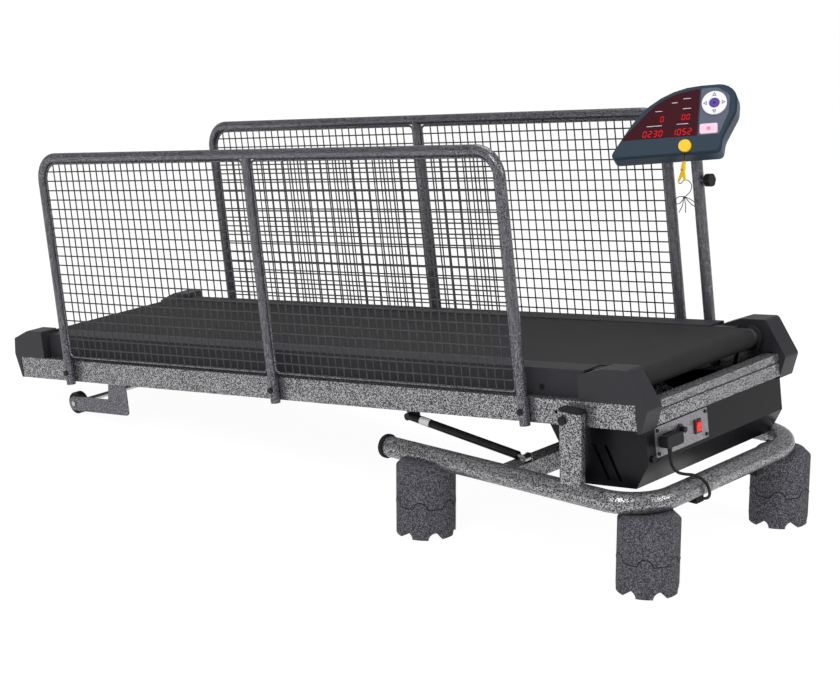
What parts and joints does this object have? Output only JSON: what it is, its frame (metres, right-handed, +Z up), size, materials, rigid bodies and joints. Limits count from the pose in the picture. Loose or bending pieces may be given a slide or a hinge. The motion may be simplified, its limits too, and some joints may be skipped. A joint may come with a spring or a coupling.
{
  "type": "dog treadmill",
  "caption": "Inclined belt deck between two wire-mesh side panels, hinged on a tubular base with foam risers, with a fin-shaped console on a mast.",
  "frame": {"origin": "on the floor, under the middle of the length and width, cord left out", "axes": "+X along the deck towards the motor end, +Y across to the console side, +Z up"},
  "size_m": [2.215, 0.78, 1.0124],
  "materials": {
    "silver_vein_paint": "hammered",
    "black_rubber": "matte",
    "grey_foam": "speckled matte",
    "black_bolt": "satin",
    "black_gloss_metal": "gloss",
    "bright_steel": "satin",
    "deck_wood": "satin",
    "grey_plastic": "matte",
    "belt_rubber": "matte",
    "motor_metal": "satin",
    "green_board": "satin",
    "black_plastic": "matte",
    "switch_metal": "satin",
    "red_plastic": "gloss",
    "tube_paint": "hammered",
    "wire_paint": "satin",
    "wheel_rubber": "satin",
    "console_plastic": "satin",
    "display_plastic": "gloss",
    "keypad_plastic": "satin",
    "white_plastic": "gloss",
    "purple_plastic": "gloss",
    "pink_plastic": "gloss",
    "yellow_plastic": "gloss",
    "black_cord": "matte",
    "cord_rubber": "satin"
  },
  "bodies": {
    "base": {"base_frame": "silver_vein_paint", "base_crossbar": "silver_vein_paint", "uprights": "silver_vein_paint", "base_caps_and_pads": "black_rubber", "riser_tops": "grey_foam", "riser_bottoms": "grey_foam", "pivot_bolts": "black_bolt", "power_cord": "cord_rubber", "cord_coil": "cord_rubber", "mains_plug": "black_plastic"},
    "strut_body": {"strut_rod": "bright_steel"},
    "strut_piston": {"strut_cylinder": "black_gloss_metal"},
    "deck": {"side_rails": "silver_vein_paint", "front_crossbar": "silver_vein_paint", "deck_crossmembers": "silver_vein_paint", "deck_cushions": "black_rubber", "deck_board": "deck_wood", "side_trims": "grey_plastic", "deck_brackets": "silver_vein_paint", "deck_axles": "bright_steel", "walking_belt": "belt_rubber", "drive_motor": "motor_metal", "drive_belt": "belt_rubber", "motor_controller": "green_board", "motor_housing": "black_plastic", "switch_plate": "switch_metal", "power_inlet": "black_plastic", "switch_bodies": "black_plastic", "rail_end_caps": "black_plastic", "panel_frames": "tube_paint", "right_mesh_rims": "tube_paint", "left_mesh_rims": "tube_paint", "right_mesh_wires": "wire_paint", "left_mesh_wires": "wire_paint", "deck_fasteners": "black_bolt", "wheel_brackets": "silver_vein_paint", "mast": "tube_paint", "power_plug": "black_plastic"},
    "front_roller": {"front_roller": "bright_steel"},
    "rear_roller": {"rear_roller": "bright_steel"},
    "motor_rotor": {"motor_rotor": "bright_steel"},
    "right_wheel": {"right_wheel": "wheel_rubber"},
    "left_wheel": {"left_wheel": "wheel_rubber"},
    "breaker_button": {"breaker_button": "black_plastic"},
    "rocker_switch": {"rocker_switch": "red_plastic"},
    "clamp_knob": {"clamp_knob": "black_plastic"},
    "console_post": {"console_post": "bright_steel"},
    "console": {"console_shell": "console_plastic", "console_bezel": "console_plastic", "display_lens": "display_plastic", "keypad_panel": "keypad_plastic", "console_board": "green_board"},
    "pad_gimbal": {"pad_gimbal": "black_plastic"},
    "four_way_pad": {"four_way_pad": "white_plastic"},
    "start_key": {"start_key": "purple_plastic"},
    "stop_key": {"stop_key": "pink_plastic"},
    "safety_key": {"safety_key": "yellow_plastic", "clip_body": "yellow_plastic", "lanyard_cord": "black_cord"},
    "clip_lever": {"clip_lever": "yellow_plastic"}
  },
  "joints": [
    {"name": "deck_fold", "type": "hinge", "parent": "base", "child": "deck", "pos_m": [0.84761, 0, 0.363], "axis": [0, 1, 0], "range_deg": [0, 48], "deforming": ["power_cord"]},
    {"name": "strut_swing", "type": "hinge", "parent": "base", "child": "strut_body", "pos_m": [0.69515, -0.272, 0.22596], "axis": [0, 1, 0], "range_deg": [0, 54.87]},
    {"name": "strut_extend", "type": "slide", "parent": "strut_body", "child": "strut_piston", "axis": [-0.9974, 0, 0.0722], "range_m": [0, 0.161]},
    {"name": "front_roller_spin", "type": "hinge", "parent": "deck", "child": "front_roller", "pos_m": [0.9611, 0, 0.45368], "axis": [0, 1, 0], "continuous": true},
    {"name": "rear_roller_spin", "type": "hinge", "parent": "deck", "child": "rear_roller", "pos_m": [-1.03726, 0, 0.17283], "axis": [0, 1, 0], "continuous": true},
    {"name": "motor_spin", "type": "hinge", "parent": "deck", "child": "motor_rotor", "pos_m": [0.9117, 0, 0.28062], "axis": [0, 1, 0], "continuous": true},
    {"name": "right_wheel_spin", "type": "hinge", "parent": "deck", "child": "right_wheel", "pos_m": [-0.88087, -0.2665, 0.03], "axis": [0, 1, 0], "continuous": true},
    {"name": "left_wheel_spin", "type": "hinge", "parent": "deck", "child": "left_wheel", "pos_m": [-0.88087, 0.2665, 0.03], "axis": [0, 1, 0], "continuous": true},
    {"name": "console_height", "type": "slide", "parent": "deck", "child": "console_post", "axis": [-0.1392, 0, 0.9903], "range_m": [0, 0.1]},
    {"name": "console_swivel", "type": "hinge", "parent": "console_post", "child": "console", "pos_m": [0.72518, 0.3142, 0.91079], "axis": [-0.1392, 0, 0.9903], "range_deg": [0, 65]},
    {"name": "clamp_turn", "type": "hinge", "parent": "deck", "child": "clamp_knob", "pos_m": [0.74328, 0.3142, 0.78206], "axis": [0.9903, 0, 0.1392], "range_deg": [0, 360]},
    {"name": "pad_tilt_sideways", "type": "hinge", "parent": "console", "child": "pad_gimbal", "pos_m": [0.78468, 0.30911, 0.97228], "axis": [-0.3298, 0.4532, 0.8282], "range_deg": [-3, 3], "stiffness_Nm_per_rad": 0.5},
    {"name": "pad_tilt_lengthways", "type": "hinge", "parent": "pad_gimbal", "child": "four_way_pad", "pos_m": [0.78468, 0.30911, 0.97228], "axis": [0.8975, 0.4226, 0.1261], "range_deg": [-3, 3], "stiffness_Nm_per_rad": 0.5},
    {"name": "start_press", "type": "slide", "parent": "console", "child": "start_key", "axis": [-0.2928, 0.7849, -0.5461], "range_m": [0, 0.001], "stiffness_N_per_m": 800},
    {"name": "stop_press", "type": "slide", "parent": "console", "child": "stop_key", "axis": [-0.2928, 0.7849, -0.5461], "range_m": [0, 0.001], "stiffness_N_per_m": 800},
    {"name": "safety_key_pull", "type": "slide", "parent": "console", "child": "safety_key", "axis": [0.2928, -0.7849, 0.5461], "range_m": [0, 0.04]},
    {"name": "clip_squeeze", "type": "hinge", "parent": "safety_key", "child": "clip_lever", "pos_m": [0.76461, 0.22, 0.825], "axis": [0, -1, 0], "range_deg": [0, 12], "stiffness_Nm_per_rad": 0.15},
    {"name": "rocker_flip", "type": "hinge", "parent": "deck", "child": "rocker_switch", "pos_m": [1.0289, -0.0795, 0.32617], "axis": [0, -1, 0], "range_deg": [0, 20]},
    {"name": "breaker_pop", "type": "slide", "parent": "deck", "child": "breaker_button", "axis": [0.9903, 0, 0.1392], "range_m": [0, 0.005]}
  ],
  "couplings": [
    {"joint": "strut_swing", "follows": "deck_fold", "ratio": 1.1327},
    {"joint": "strut_extend", "follows": "deck_fold", "m_per_rad": 0.19093},
    {"joint": "rear_roller_spin", "follows": "front_roller_spin", "ratio": 1},
    {"joint": "motor_spin", "follows": "front_roller_spin", "ratio": 1.6429}
  ]
}
